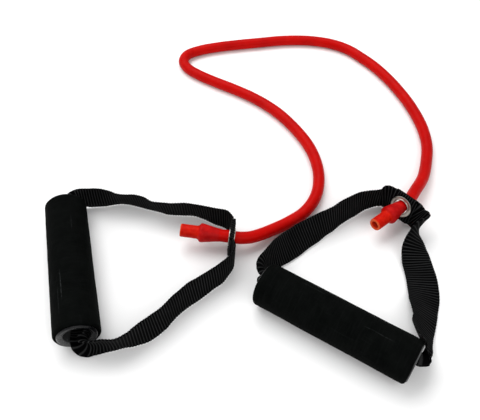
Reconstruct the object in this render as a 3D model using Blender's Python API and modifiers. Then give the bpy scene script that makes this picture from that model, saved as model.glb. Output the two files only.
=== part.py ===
"""Resistance band: a hollow latex tube with a stop plug in each end, and two handles.

Each handle is one webbing strap that runs through a foam grip and is clamped at its two
overlapped ends by a metal eyelet, through which the tube passes.
Metres, +Z up, the band lying on the plane z = 0.
"""
import bpy
import bmesh
import math
from mathutils import Vector, Matrix

MM = 0.001

# ---------------------------------------------------------------- driving dimensions (mm)
TUBE_D = 10.6            # latex tube, outside
TUBE_WALL = 2.2
STUB_LEN = 15.5          # tube beyond the plug's shoulder
STUB_D = 11.0
SHOULDER_LEN = 1.6
BULGE_D = 16.2           # tube stretched over the plug's big end
TAPER_LEN = 18.0         # shoulder to where the tube is its own diameter again
PLUG_LEN = 16.5
PLUG_BIG_D = 10.2
PLUG_SMALL_D = 4.4

WEB_W = 25.0             # webbing
WEB_T = 1.4
LAYER = 0.95             # half the pitch of the two overlapped ends
CORE_CURL = 172.0        # degrees of curl that lets the webbing into the core
BELLY = 8.3              # from the grip's axis to the middle of the curled webbing

FOAM_D = 35.0
FOAM_LEN = 124.0
FOAM_BORE_D = 26.6
CORE_D = 26.0
CORE_BORE_D = 23.0
CORE_LEN = 123.6
FLANGE_D = 30.5
FLANGE_T = 2.2
CAP_HOLE_D = 20.2
CAP_SLEEVE_D = 22.4
CAP_SLEEVE_LEN = 14.0

EYE_BORE_D = 12.8
EYE_NECK_D = 13.9
EYE_FLANGE_D = 19.6
EYE_SHEET = 0.6          # sheet metal of the eyelet and its washer
WEB_HOLE_D = 14.5

# ---------------------------------------------------------------- where the pieces lie (mm)
ORIGIN_SHIFT = Vector((2.68, 79.84, 0.0))      # brings the handles' footprint over the origin

LEFT_EYE = Vector((-7.0, -38.5, 13.0))
LEFT_AXIS = Vector((-0.991, 0.089, 0.100)).normalized()      # along the tube, out of the loop
RIGHT_EYE = Vector((139.6, -7.4, 15.0))
RIGHT_AXIS = Vector((-0.770, -0.636, 0.060)).normalized()
RIGHT_EYE_NORMAL = Vector((-0.690, -0.675, 0.262)).normalized()

LEFT_GRIP = Vector((-135.0, -70.5, 17.5))
LEFT_GRIP_YAW = -76.4
RIGHT_GRIP = Vector((71.6, -119.5, 17.5))
RIGHT_GRIP_YAW = -32.0

LEFT_SHOULDER = 27.6      # eyelet to the plug's shoulder, along the tube
RIGHT_SHOULDER = 19.0

# the tube's lie on the floor, between the straight ends at the two eyelets
TUBE_ROUTE = [
    (8.6, -37.6, 10.9), (17.0, -33.6, 9.2), (25.5, -28.5, 7.6), (41.5, -18.5, 6.0), (57, -6, 5.4), (68, 12, 5.4), (72.4, 35, 5.4),
    (70, 59, 5.4), (62.2, 81.5, 5.4), (44, 111.5, 5.4), (28.5, 129, 5.4), (11, 143.5, 5.4), (-7.5, 155.5, 5.4),
    (-27.5, 167, 5.4), (-45, 178.5, 5.4), (-56, 188.5, 5.4), (-61, 199.5, 5.4), (-57.5, 210.5, 5.4), (-43, 219, 5.4),
    (-22, 225, 5.4), (0, 229, 5.4), (24, 232.7, 5.4), (47, 236, 5.4), (69.5, 236.5, 5.4), (87, 234.3, 5.4),
    (104, 229, 5.4), (119.5, 219.5, 5.4), (132.7, 205.5, 5.4), (144.7, 190, 5.4), (155, 172.5, 5.4), (163.6, 154, 5.4),
    (170.7, 135, 5.4), (176, 115, 5.4), (179, 95, 5.4), (178.8, 74, 5.4), (174.2, 53, 5.9), (167, 32, 8.0), (155.5, 12.5, 11.6),
]


# ---------------------------------------------------------------- small tools
def clear_scene():
    for ob in list(bpy.data.objects):
        bpy.data.objects.remove(ob, do_unlink=True)


def make_material(name, colour, roughness, metallic=0.0):
    mat = bpy.data.materials.new(name)
    mat.use_nodes = True
    bsdf = mat.node_tree.nodes["Principled BSDF"]
    bsdf.inputs["Base Color"].default_value = (*colour, 1.0)
    bsdf.inputs["Roughness"].default_value = roughness
    bsdf.inputs["Metallic"].default_value = metallic
    mat.diffuse_color = (*colour, 1.0)
    return mat


def link(ob, collection, material=None, parent=None):
    collection.objects.link(ob)
    if material:
        ob.data.materials.clear()
        ob.data.materials.append(material)
    if parent:
        ob.parent = parent
    return ob


def empty(name, collection, location, z_axis=None, x_hint=Vector((0, 0, 1)), parent=None):
    """An empty at location (mm), its local Z along z_axis."""
    ob = bpy.data.objects.new(name, None)
    ob.empty_display_size = 0.02
    collection.objects.link(ob)
    rot = Matrix.Identity(4)
    if z_axis is not None:
        z = z_axis.normalized()
        y = z.cross(x_hint).normalized()
        x = y.cross(z)
        rot = Matrix((x, y, z)).transposed().to_4x4()
    ob.matrix_world = Matrix.Translation(location * MM) @ rot
    if parent:
        ob.parent = parent
        ob.matrix_parent_inverse = Matrix.Identity(4)
    return ob


def turned(name, profile, steps, collection, material, parent):
    """A turned piece: a closed profile of (radius, z) points in mm, spun about local Z."""
    area = sum(a[0] * b[1] - b[0] * a[1] for a, b in zip(profile, profile[1:] + profile[:1]))
    if area > 0:                       # the outer side has to run from top to bottom
        profile = profile[::-1]
    bm = bmesh.new()
    verts = [bm.verts.new((r * MM, 0.0, z * MM)) for r, z in profile]
    for a, b in zip(verts, verts[1:] + verts[:1]):
        bm.edges.new((a, b))
    mesh = bpy.data.meshes.new(name)
    bm.to_mesh(mesh)
    bm.free()
    ob = bpy.data.objects.new(name, mesh)
    link(ob, collection, material, parent)
    screw = ob.modifiers.new("turn", 'SCREW')
    screw.axis = 'Z'
    screw.steps = steps
    screw.render_steps = steps
    screw.use_merge_vertices = True
    screw.merge_threshold = 0.00001
    screw.use_smooth_shade = True
    return ob


def catmull(points, per_segment=16):
    """Centripetal Catmull-Rom through points, each a tuple of any length (position first)."""
    pts = [list(map(float, p)) for p in points]
    first = [2 * a - b for a, b in zip(pts[0], pts[1])]
    last = [2 * a - b for a, b in zip(pts[-1], pts[-2])]
    pts = [first] + pts + [last]
    out = []
    for i in range(1, len(pts) - 2):
        quad = pts[i - 1:i + 3]
        t = [0.0]
        for a, b in zip(quad, quad[1:]):
            t.append(t[-1] + math.sqrt(max(1e-6, math.dist(a[:3], b[:3]))))
        for k in range(per_segment):
            u = t[1] + (t[2] - t[1]) * k / per_segment

            def mix(p, q, ta, tb):
                return [(tb - u) / (tb - ta) * x + (u - ta) / (tb - ta) * y for x, y in zip(p, q)]
            a1 = mix(quad[0], quad[1], t[0], t[1])
            a2 = mix(quad[1], quad[2], t[1], t[2])
            a3 = mix(quad[2], quad[3], t[2], t[3])
            b1 = mix(a1, a2, t[0], t[2])
            b2 = mix(a2, a3, t[1], t[3])
            out.append(mix(b1, b2, t[1], t[2]))
    out.append(pts[-2])
    return out


def resample(samples, lengths_wanted):
    """Read a dense polyline at the wanted distances along it."""
    total = [0.0]
    for a, b in zip(samples, samples[1:]):
        total.append(total[-1] + math.dist(a[:3], b[:3]))
    out = []
    j = 0
    for s in lengths_wanted:
        s = min(max(s, 0.0), total[-1])
        while j < len(total) - 2 and total[j + 1] < s:
            j += 1
        f = (s - total[j]) / max(1e-9, total[j + 1] - total[j])
        out.append([x + (y - x) * f for x, y in zip(samples[j], samples[j + 1])])
    return out, total[-1]


def arc_length(samples):
    return sum(math.dist(a[:3], b[:3]) for a, b in zip(samples, samples[1:]))


# ---------------------------------------------------------------- latex tube
def tube_outer_radius(d, shoulder):
    """Tube radius at a distance d (mm) from its cut end; shoulder is the stub's length."""
    x = d - shoulder
    if x <= 0:
        return STUB_D / 2
    if x < SHOULDER_LEN:
        f = x / SHOULDER_LEN
        return STUB_D / 2 + (BULGE_D - STUB_D) / 2 * f
    if x < TAPER_LEN:
        f = (x - SHOULDER_LEN) / (TAPER_LEN - SHOULDER_LEN)
        return BULGE_D / 2 + (TUBE_D - BULGE_D) / 2 * f
    return TUBE_D / 2


def tube_stations():
    """Centreline points with the two radii: dense over each plug, even along the middle."""
    ends = []
    for eye, axis, shoulder in ((LEFT_EYE, LEFT_AXIS, LEFT_SHOULDER), (RIGHT_EYE, RIGHT_AXIS, RIGHT_SHOULDER)):
        tip = shoulder + STUB_LEN
        marks = [tip, tip - 9.0, shoulder + 0.3, shoulder - SHOULDER_LEN, shoulder - 6.0,
                 shoulder - 12.0, shoulder - TAPER_LEN]
        ends.append(([eye + axis * m for m in marks], eye, axis))
    left, right = ends[0], ends[1]
    mid = [left[0][-1], left[1] + left[2] * 1.0, left[1] - left[2] * 7.0]
    mid += [Vector(p) for p in TUBE_ROUTE]
    mid += [right[1] - right[2] * 8.0, right[1] + right[2] * 0.5]
    dense = catmull([tuple(p) for p in mid], 12)
    length = arc_length(dense)
    count = 60
    middle, _ = resample(dense, [length * i / (count - 1) for i in range(count)])
    centre = [tuple(p) for p in left[0][:-1]] + [tuple(p) for p in middle]
    tail = [tuple(p) for p in right[0]][::-1]
    # the last sample of the middle run sits just inside the right eyelet; the taper starts beyond it
    tail = [p for p in tail if (Vector(p) - right[1]).dot(right[2]) > 1.5]
    centre += tail
    run = [0.0]
    for a, b in zip(centre, centre[1:]):
        run.append(run[-1] + math.dist(a, b))
    radii = [min(tube_outer_radius(s, STUB_LEN) if s < 60 else 99.0,
                 tube_outer_radius(run[-1] - s, STUB_LEN) if run[-1] - s < 60 else 99.0,
                 99.0) for s in run]
    radii = [TUBE_D / 2 if r > 50 else r for r in radii]
    return centre, radii, run[-1]


def poly_tube(name, centre, radii, resolution, collection):
    curve = bpy.data.curves.new(name, 'CURVE')
    curve.dimensions = '3D'
    curve.bevel_depth = 1.0 * MM
    curve.bevel_resolution = resolution
    curve.use_fill_caps = True
    curve.twist_mode = 'MINIMUM'
    spline = curve.splines.new('POLY')
    spline.points.add(len(centre) - 1)
    for point, co, r in zip(spline.points, centre, radii):
        point.co = (co[0] * MM, co[1] * MM, co[2] * MM, 1.0)
        point.radius = r
    ob = bpy.data.objects.new(name, curve)
    collection.objects.link(ob)
    return ob


def curve_to_mesh(ob, name, collection):
    """Replace a curve object by the same shape as a welded mesh."""
    bpy.context.view_layer.update()
    deps = bpy.context.evaluated_depsgraph_get()
    mesh = bpy.data.meshes.new_from_object(ob.evaluated_get(deps))
    bm = bmesh.new()
    bm.from_mesh(mesh)
    bmesh.ops.remove_doubles(bm, verts=bm.verts, dist=0.000001)
    bmesh.ops.recalc_face_normals(bm, faces=bm.faces)
    bm.to_mesh(mesh)
    bm.free()
    mesh.name = name
    new = bpy.data.objects.new(name, mesh)
    collection.objects.link(new)
    new.matrix_world = ob.matrix_world.copy()
    bpy.data.objects.remove(ob, do_unlink=True)
    return new


def build_tube(parts, cutters, material, parent):
    centre, radii, _ = tube_stations()
    outer = curve_to_mesh(poly_tube("tube_outer_curve", centre, radii, 3, parts), "resistance_tube", parts)
    first = Vector(centre[0]) + (Vector(centre[0]) - Vector(centre[1])).normalized() * 3
    last = Vector(centre[-1]) + (Vector(centre[-1]) - Vector(centre[-2])).normalized() * 3
    bore_path = [tuple(first)] + centre + [tuple(last)]
    bore_r = [radii[0] - TUBE_WALL] + [r - TUBE_WALL for r in radii] + [radii[-1] - TUBE_WALL]
    bore = curve_to_mesh(poly_tube("tube_bore_curve", bore_path, bore_r, 3, cutters), "tube_bore_cutter", cutters)
    bore.hide_render = True
    bore.display_type = 'WIRE'
    outer.data.materials.clear()
    outer.data.materials.append(material)
    outer.parent = parent
    bore.parent = parent
    cut = outer.modifiers.new("bore", 'BOOLEAN')
    cut.operation = 'DIFFERENCE'
    cut.solver = 'EXACT'
    cut.object = bore
    for poly in outer.data.polygons:
        poly.use_smooth = True
    return outer


def build_plug(name, eye, axis, shoulder, parts, material, parent):
    """Tapered stop plug: big end at the shoulder, thin end towards the eyelet."""
    frame = empty(name + "_axis", parts, eye + axis * shoulder, z_axis=axis, parent=parent)
    big, small = PLUG_BIG_D / 2, PLUG_SMALL_D / 2
    z0 = -SHOULDER_LEN - 0.2
    profile = [(0.6, z0), (big - 0.5, z0), (big, z0 - 0.6), (small + 0.1, z0 - PLUG_LEN + 0.5), (small - 0.4, z0 - PLUG_LEN), (0.6, z0 - PLUG_LEN)]
    return turned(name, profile, 20, parts, material, frame)


# ---------------------------------------------------------------- webbing straps
def core_stations(grip, yaw, turn_in, turn_out):
    """The webbing's middle line through the core, mouth to mouth in travel order; the curl is turned about the grip's axis at each mouth."""
    u = Vector((math.cos(math.radians(yaw)), math.sin(math.radians(yaw)), 0.0))
    inner = Vector((-u.y, u.x, 0.0))
    up = Vector((0.0, 0.0, 1.0))
    mouth = FOAM_LEN / 2 + FLANGE_T + 0.6
    out = []
    for m in (-mouth, -mouth + 6, -mouth + 20, -15.0, 15.0, mouth - 20, mouth - 6, mouth):
        share = max(0.0, (abs(m) - 15.0) / (mouth - 15.0))
        a = math.radians((turn_in if m < 0 else turn_out) * share)
        away = inner * math.cos(a) + up * math.sin(a)
        out.append((*(grip + u * m + away * BELLY), *(up * math.cos(a) - inner * math.sin(a)), CORE_CURL, 0.0))
    return out


def eye_stations(eye, normal, along, up, side, marks):
    """Flat stretch of webbing beside the eyelet: side is the layer, marks are distances from its centre."""
    return [(*(eye + along * m + normal * (LAYER * side)), *up, 0.0, 0.0) for m in marks]


def strap_stations(stations, step=3.6):
    """Stations (x, y, z, width direction, curl, lag of the edges behind the middle) read evenly along their smooth curve."""
    dense = catmull([(*s, 0.0)[:8] for s in stations], 10)
    length = arc_length(dense)
    count = max(8, int(round(length / step)))
    return resample(dense, [length * i / count for i in range(count + 1)])[0], length


def strap_sections(rows):
    """For each row, the points across the webbing: flat, or curled to an arc of the same width."""
    sections = []
    cross = 4
    for i, row in enumerate(rows):
        a = Vector(rows[max(0, i - 1)][:3])
        b = Vector(rows[min(len(rows) - 1, i + 1)][:3])
        t = (b - a).normalized()
        w = Vector(row[3:6])
        w = (w - t * w.dot(t)).normalized()
        lag = row[7] * math.pi / 2
        n = t.cross(w) * math.cos(lag) - t * math.sin(lag)
        c = Vector(row[:3])
        curl = math.radians(max(0.0, row[6]))
        line = []
        for k in range(cross + 1):
            d = WEB_W * (k / cross - 0.5)
            if curl < 0.03:
                line.append(c + w * d)
            else:
                radius = WEB_W / curl
                line.append(c + w * (radius * math.sin(d / radius)) + n * (radius * (1 - math.cos(d / radius))))
        lift = max(0.0, WEB_T / 2 + 0.35 - min(p.z for p in line))      # never lower than the floor
        sections.append([p + Vector((0.0, 0.0, lift)) for p in line])
    return sections


def build_strap(name, stations, eye, eye_normal, pivot, parts, cutters, material, parent):
    rows, length = strap_stations(stations)
    sections = strap_sections(rows)
    bm = bmesh.new()
    grid = [[bm.verts.new((p - pivot) * MM) for p in line] for line in sections]
    for row_a, row_b in zip(grid, grid[1:]):
        for k in range(len(row_a) - 1):
            bm.faces.new((row_a[k], row_a[k + 1], row_b[k + 1], row_b[k]))
    mesh = bpy.data.meshes.new(name)
    bm.to_mesh(mesh)
    bm.free()
    ob = bpy.data.objects.new(name, mesh)
    link(ob, parts, material, parent)
    ob.location = pivot * MM
    solid = ob.modifiers.new("webbing", 'SOLIDIFY')
    solid.thickness = WEB_T * MM
    solid.offset = 0.0
    solid.use_even_offset = False
    # round hole for the eyelet, through both overlapped ends
    bpy.ops.mesh.primitive_cylinder_add(vertices=28, radius=WEB_HOLE_D / 2 * MM, depth=9.0 * MM)
    cutter = bpy.context.active_object
    cutter.name = name + "_hole_cutter"
    for coll in list(cutter.users_collection):
        coll.objects.unlink(cutter)
    cutters.objects.link(cutter)
    cutter.matrix_world = Matrix.Translation(eye * MM) @ eye_normal.to_track_quat('Z', 'Y').to_matrix().to_4x4()
    cutter.parent = parent
    cutter.hide_render = True
    cutter.display_type = 'WIRE'
    hole = ob.modifiers.new("eyelet_hole", 'BOOLEAN')
    hole.operation = 'DIFFERENCE'
    hole.solver = 'EXACT'
    hole.object = cutter
    return ob


# ---------------------------------------------------------------- eyelets
def build_eyelet(side, eye, normal, parts, material, parent):
    """Barrel with a rolled flange on the plug side, and a washer on the other side."""
    frame = empty(side + "_eyelet_axis", parts, eye, z_axis=normal, parent=parent)
    half = LAYER + WEB_T / 2 + 0.25         # from the strap's middle to a flange's inner face
    bore, neck, rim = EYE_BORE_D / 2, EYE_NECK_D / 2, EYE_FLANGE_D / 2
    s = EYE_SHEET
    back = half + s + 0.3                   # the rolled lip stands clear of the washer
    barrel = [
        (bore, -half - 0.3), (bore + 0.6, -back - 0.65), (neck + 0.9, -back - 0.75), (neck + 1.3, -back - 0.35),
        (neck + 0.2, -back), (neck, -half - 0.4), (neck, half), (rim - 0.3, half), (rim, half + 0.3),
        (rim - 0.7, half + s + 0.2), (neck + 0.7, half + s + 0.4), (bore + 0.6, half + s + 0.1), (bore, half - 0.5),
    ]
    barrel_ob = turned(side + "_eyelet_barrel", barrel, 24, parts, material, frame)
    washer = [(neck + 0.3, -half), (rim - 0.3, -half), (rim, -half - 0.3), (rim - 0.4, -half - s), (neck + 0.3, -half - s)]
    washer_ob = turned(side + "_eyelet_washer", washer, 24, parts, material, frame)
    return barrel_ob, washer_ob


# ---------------------------------------------------------------- grips
def build_grip(side, centre, yaw, parts, mats, parent, near_far):
    axis = Vector((math.cos(math.radians(yaw)), math.sin(math.radians(yaw)), 0.0))
    frame = empty(side + "_grip_axis", parts, centre, z_axis=axis, parent=parent)
    half = FOAM_LEN / 2
    r, b = FOAM_D / 2, FOAM_BORE_D / 2
    foam = [(b, -half), (r - 2.2, -half), (r - 0.5, -half + 0.9), (r, -half + 2.8),
            (r, half - 2.8), (r - 0.5, half - 0.9), (r - 2.2, half), (b, half)]
    turned(side + "_foam_grip", foam, 32, parts, mats["foam"], frame)
    h = CORE_LEN / 2
    core = [(CORE_BORE_D / 2, -h), (CORE_D / 2, -h), (CORE_D / 2, h), (CORE_BORE_D / 2, h)]
    turned(side + "_core_tube", core, 26, parts, mats["core"], frame)
    start = half + 0.3
    rim, hole, sleeve = FLANGE_D / 2, CAP_HOLE_D / 2, CAP_SLEEVE_D / 2
    for end, sign in zip(near_far, (-1.0, 1.0)):
        prof = [(hole, start - CAP_SLEEVE_LEN), (sleeve, start - CAP_SLEEVE_LEN), (sleeve, start), (rim, start),
                (rim, start + 0.9), (rim - 1.0, start + FLANGE_T), (hole + 1.6, start + FLANGE_T), (hole, start + 0.6)]
        prof = [(pr, pz * sign) for pr, pz in prof]
        if sign < 0:
            prof = prof[::-1]
        turned(side + "_end_cap_" + end, prof, 28, parts, mats["cap"], frame)


# ---------------------------------------------------------------- assembly
def main():
    clear_scene()
    scene = bpy.context.scene
    parts = bpy.data.collections.new("resistance_band")
    cutters = bpy.data.collections.new("cutters")
    scene.collection.children.link(parts)
    scene.collection.children.link(cutters)
    mats = {
        "latex": make_material("red_latex", (0.72, 0.02, 0.015), 0.38),
        "plug": make_material("white_nylon", (0.75, 0.74, 0.70), 0.45),
        "webbing": make_material("black_webbing", (0.012, 0.012, 0.013), 0.75),
        "foam": make_material("black_foam", (0.018, 0.019, 0.019), 0.9),
        "core": make_material("grey_core_plastic", (0.20, 0.20, 0.21), 0.5),
        "cap": make_material("dark_cap_plastic", (0.045, 0.045, 0.048), 0.25),
        "metal": make_material("nickel_plate", (0.72, 0.69, 0.65), 0.28, 1.0),
    }
    root = empty("band_origin", parts, ORIGIN_SHIFT)
    up = Vector((0, 0, 1))

    build_tube(parts, cutters, mats["latex"], root)
    build_plug("left_stop_plug", LEFT_EYE, LEFT_AXIS, LEFT_SHOULDER, parts, mats["plug"], root)
    build_plug("right_stop_plug", RIGHT_EYE, RIGHT_AXIS, RIGHT_SHOULDER, parts, mats["plug"], root)

    # left handle: the eyelet stands square on the tube, the strap's ends lie across it
    along = LEFT_AXIS.cross(up).normalized()              # away from the viewer's side, +Y
    width = along.cross(LEFT_AXIS).normalized()
    if width.z < 0:
        width = -width
    left = eye_stations(LEFT_EYE, LEFT_AXIS, along, width, 1.0, [-12.0, -6.0, 0.0, 6.0, 10.2])
    left += [
        (-8.8, -24.4, 13.1, 0.08, 0.0, 1.00, 0), (-11.2, -21.3, 13.2, 0.08, -0.03, 1.00, 0), (-14.6, -19.6, 13.2, 0.06, -0.05, 1.00, 0), (-19, -18.0, 13.2, 0.0, -0.07, 1.00, 0), (-25, -15.8, 13.2, -0.03, -0.08, 1.00, 0),
        (-32.5, -12.7, 13.1, -0.08, -0.15, 0.99, 0), (-39.5, -10.5, 12.9, -0.06, -0.24, 0.97, 0), (-54, -9.4, 12.9, -0.02, -0.24, 0.97, 0),
        (-65, -8.3, 12.8, -0.05, -0.27, 0.97, 0), (-74, -6.3, 12.7, -0.10, -0.31, 0.95, 0), (-81.5, -3.1, 12.8, -0.10, -0.24, 0.97, 0),
        (-89, -0.6, 12.8, -0.10, -0.26, 0.96, 0), (-97, 0.9, 12.6, -0.06, -0.33, 0.94, 0), (-106, 2.2, 12.7, 0.0, -0.30, 0.95, 0),
        (-115, 3.1, 13.1, 0.02, -0.16, 0.99, 0), (-124, 2.6, 13.2, 0.0, -0.05, 1.0, 10), (-131.5, 0.9, 13.4, 0.0, 0.0, 1.0, 40),
        (-137.2, -1.3, 13.8, 0.0, 0.0, 1.0, 92), (-140.8, -3.8, 14.6, 0.0, 0.0, 1.0, 145),
    ]
    left += core_stations(LEFT_GRIP, LEFT_GRIP_YAW, -15, -50)
    left += [
        (-112.2, -134.6, 11.6, 0.42, 0.10, 0.90, 150, 0.35), (-108.0, -135.2, 12.5, 0.26, 0.0, 0.96, 110, 0.4), (-101, -135.4, 12.9, 0.12, -0.08, 0.99, 50, 0.2),
        (-91.5, -135.6, 13.0, 0.08, -0.17, 0.98, 12), (-82, -132.4, 13.1, 0.0, -0.05, 1.0, 0), (-73.5, -127.6, 13.1, -0.06, 0.15, 0.98, 0), (-65.7, -121.6, 12.9, -0.13, 0.18, 0.97, 0),
        (-59.9, -116.2, 13.0, -0.16, 0.13, 0.98, 0), (-53.9, -109.2, 13.1, -0.11, 0.08, 0.99, 0), (-47.7, -102.0, 13.1, -0.10, 0.10, 0.99, 0), (-40.5, -95.0, 13.0, -0.12, 0.13, 0.98, 0),
        (-33.0, -88.9, 13.1, -0.10, 0.12, 0.99, 0), (-24.7, -82.8, 13.1, -0.09, 0.10, 0.99, 0), (-16.6, -76.3, 13.2, -0.07, 0.07, 0.99, 0), (-10.4, -69.2, 13.2, -0.03, 0.02, 1.0, 0), (-5.8, -61.8, 13.2, 0.03, 0.0, 1.0, 0), (-4.9, -55.0, 13.1, 0.07, 0.0, 1.0, 0),
    ]
    left += eye_stations(LEFT_EYE, LEFT_AXIS, along, width, -1.0, [-10.2, -6.0, 0.0, 6.0, 10.8])
    build_strap("left_webbing_strap", left, LEFT_EYE, LEFT_AXIS, LEFT_EYE, parts, cutters, mats["webbing"], root)
    build_eyelet("left", LEFT_EYE, LEFT_AXIS, parts, mats["metal"], root)

    # right handle: the eyelet leans on the tube, its plug pulled up against it
    along = RIGHT_EYE_NORMAL.cross(up).normalized()       # towards the front right
    if along.x < 0:
        along = -along
    width = along.cross(RIGHT_EYE_NORMAL).normalized()
    if width.z < 0:
        width = -width
    right = eye_stations(RIGHT_EYE, RIGHT_EYE_NORMAL, along, width, 1.0, [11.5, 6.0, 0.0, -6.0, -9.8])
    right += [
        (128.0, 2.3, 14.2, 0.19, 0.18, 0.97, 0), (124.2, 3.4, 13.3, 0.0, -0.05, 1.0, 0), (117.6, 2.2, 13.0, -0.02, -0.08, 1.0, 0), (110.5, 0.4, 13.0, -0.04, 0.03, 0.98, 0), (103.5, -2.8, 13.0, -0.10, 0.15, 0.97, 0),
        (93.6, -9.0, 13.0, -0.12, 0.17, 0.97, 0), (82.4, -16.8, 12.9, -0.17, 0.19, 0.96, 0), (71.8, -24.2, 12.3, -0.26, 0.28, 0.93, 0),
        (61.1, -31.3, 11.4, -0.33, 0.40, 0.85, 0), (50.9, -38.2, 10.6, -0.38, 0.48, 0.78, 0), (40.7, -45.6, 10.2, -0.40, 0.50, 0.75, 0),
        (31.8, -53.6, 11.6, -0.34, 0.40, 0.84, 0), (25.2, -61.0, 13.4, -0.22, 0.20, 0.94, 15),
        (20.8, -67.8, 15.2, -0.10, 0.06, 0.99, 55, -0.1), (19.0, -73.8, 16.8, -0.03, 0.0, 1.0, 120, -0.2),
    ]
    right += core_stations(RIGHT_GRIP, RIGHT_GRIP_YAW, 0, 0)
    right += [
        (132.0, -145.8, 17.5, 0.00, 0.00, 1.00, 162, 0.3), (133.6, -144.1, 17.2, 0.00, 0.00, 1.00, 145, 0.65), (135.4, -140.8, 16.4, -0.08, 0.05, 1.00, 108, 0.5),
        (137.0, -136.8, 14.6, -0.30, 0.19, 0.93, 62, 0.3), (137.5, -130.6, 12.0, -0.54, 0.28, 0.80, 25, 0.1),
        (138.9, -123.0, 9.6, -0.67, 0.30, 0.68, 8, 0), (140.8, -114.7, 8.0, -0.77, 0.25, 0.58, 0), (143.0, -105.8, 6.4, -0.85, 0.22, 0.46, 0), (145.2, -96.2, 4.2, -0.91, 0.20, 0.28, 0),
        (147.2, -87.0, 2.2, -0.97, 0.12, 0.10, 0), (148.0, -77.5, 1.6, -0.99, 0.0, 0.03, 0), (147.8, -66.5, 1.6, -0.99, -0.08, 0.03, 0), (146.6, -55.4, 2.6, -0.98, -0.11, 0.14, 0),
        (146.4, -45.6, 6.0, -0.91, -0.14, 0.38, 0), (148.2, -37.0, 9.2, -0.68, -0.30, 0.66, 0), (150.4, -30.4, 11.0, -0.35, -0.50, 0.78, 0), (152.9, -26.4, 10.8, 0.05, -0.42, 0.90, 0), (154.0, -22.8, 11.0, 0.38, -0.25, 0.89, 0),
        (152.6, -19.4, 11.6, 0.40, -0.12, 0.90, 0), (150.0, -16.9, 13.0, 0.27, 0.0, 0.96, 0),
    ]
    right += eye_stations(RIGHT_EYE, RIGHT_EYE_NORMAL, along, width, -1.0, [10.5, 6.0, 0.0, -6.0, -10.6])
    build_strap("right_webbing_strap", right, RIGHT_EYE, RIGHT_EYE_NORMAL, RIGHT_EYE, parts, cutters, mats["webbing"], root)
    build_eyelet("right", RIGHT_EYE, RIGHT_EYE_NORMAL, parts, mats["metal"], root)

    build_grip("left", LEFT_GRIP, LEFT_GRIP_YAW, parts, mats, root, ("far", "near"))
    build_grip("right", RIGHT_GRIP, RIGHT_GRIP_YAW, parts, mats, root, ("left", "right"))
    for ob in parts.objects:
        if ob.type == 'MESH':
            ob.data.shade_smooth()
            ob.data.set_sharp_from_angle(angle=math.radians(35))


main()
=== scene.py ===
"""The looks of the resistance band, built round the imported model."""
import bpy
import bmesh
import math
from mathutils import Vector, Matrix, noise


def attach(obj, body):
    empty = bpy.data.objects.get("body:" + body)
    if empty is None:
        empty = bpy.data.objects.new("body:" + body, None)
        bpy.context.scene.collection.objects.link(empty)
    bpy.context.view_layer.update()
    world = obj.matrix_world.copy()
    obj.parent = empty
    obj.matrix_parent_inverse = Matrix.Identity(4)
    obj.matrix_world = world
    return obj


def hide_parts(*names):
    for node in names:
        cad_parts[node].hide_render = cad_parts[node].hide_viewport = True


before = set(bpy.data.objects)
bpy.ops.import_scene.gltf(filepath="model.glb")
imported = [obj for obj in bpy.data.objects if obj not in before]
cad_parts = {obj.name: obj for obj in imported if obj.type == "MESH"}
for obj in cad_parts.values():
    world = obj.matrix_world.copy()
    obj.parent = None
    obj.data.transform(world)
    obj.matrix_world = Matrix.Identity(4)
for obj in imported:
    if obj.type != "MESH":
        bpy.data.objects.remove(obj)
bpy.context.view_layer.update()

MM = 0.001

# ---------------------------------------------------------------- the model's own dimensions (mm), as in part.py
SHIFT = Vector((2.68, 79.84, 0.0))

TUBE_D = 10.6
TUBE_WALL = 2.2
STUB_LEN = 15.5
STUB_D = 11.0
SHOULDER_LEN = 1.6
BULGE_D = 16.2
TAPER_LEN = 18.0

WEB_W = 25.0
WEB_T = 1.4
LAYER = 0.80
CORE_CURL = 172.0
BELLY = 8.3

FOAM_D = 35.0
FOAM_LEN = 124.0
FOAM_BORE_D = 26.6
FLANGE_D = 30.5
FLANGE_T = 2.2
CAP_HOLE_D = 20.2
CAP_SLEEVE_D = 22.4
CAP_SLEEVE_LEN = 14.0

EYE_BORE_D = 12.8
EYE_FLANGE_D = 19.6

LEFT_EYE = Vector((-7.0, -38.5, 13.0))
LEFT_AXIS = Vector((-0.991, 0.089, 0.100)).normalized()
RIGHT_EYE = Vector((139.6, -7.4, 15.0))
RIGHT_AXIS = Vector((-0.770, -0.636, 0.060)).normalized()
RIGHT_EYE_NORMAL = Vector((-0.690, -0.675, 0.262)).normalized()

LEFT_GRIP = Vector((-135.0, -70.5, 17.5))
LEFT_GRIP_YAW = -76.4
RIGHT_GRIP = Vector((71.6, -119.5, 17.5))
RIGHT_GRIP_YAW = -32.0

LEFT_SHOULDER = 27.6
RIGHT_SHOULDER = 19.0

TUBE_ROUTE = [
    (8.6, -37.6, 10.9), (17.0, -33.6, 9.2), (25.5, -28.5, 7.6), (41.5, -18.5, 6.0), (57, -6, 5.4), (68, 12, 5.4), (72.4, 35, 5.4),
    (70, 59, 5.4), (62.2, 81.5, 5.4), (44, 111.5, 5.4), (28.5, 129, 5.4), (11, 143.5, 5.4), (-7.5, 155.5, 5.4),
    (-27.5, 167, 5.4), (-45, 178.5, 5.4), (-56, 188.5, 5.4), (-61, 199.5, 5.4), (-57.5, 210.5, 5.4), (-43, 219, 5.4),
    (-22, 225, 5.4), (0, 229, 5.4), (24, 232.7, 5.4), (47, 236, 5.4), (69.5, 236.5, 5.4), (87, 234.3, 5.4),
    (104, 229, 5.4), (119.5, 219.5, 5.4), (132.7, 205.5, 5.4), (144.7, 190, 5.4), (155, 172.5, 5.4), (163.6, 154, 5.4),
    (170.7, 135, 5.4), (176, 115, 5.4), (179, 95, 5.4), (178.8, 74, 5.4), (174.2, 53, 5.9), (167, 32, 8.0), (155.5, 12.5, 11.6),
]


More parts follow.
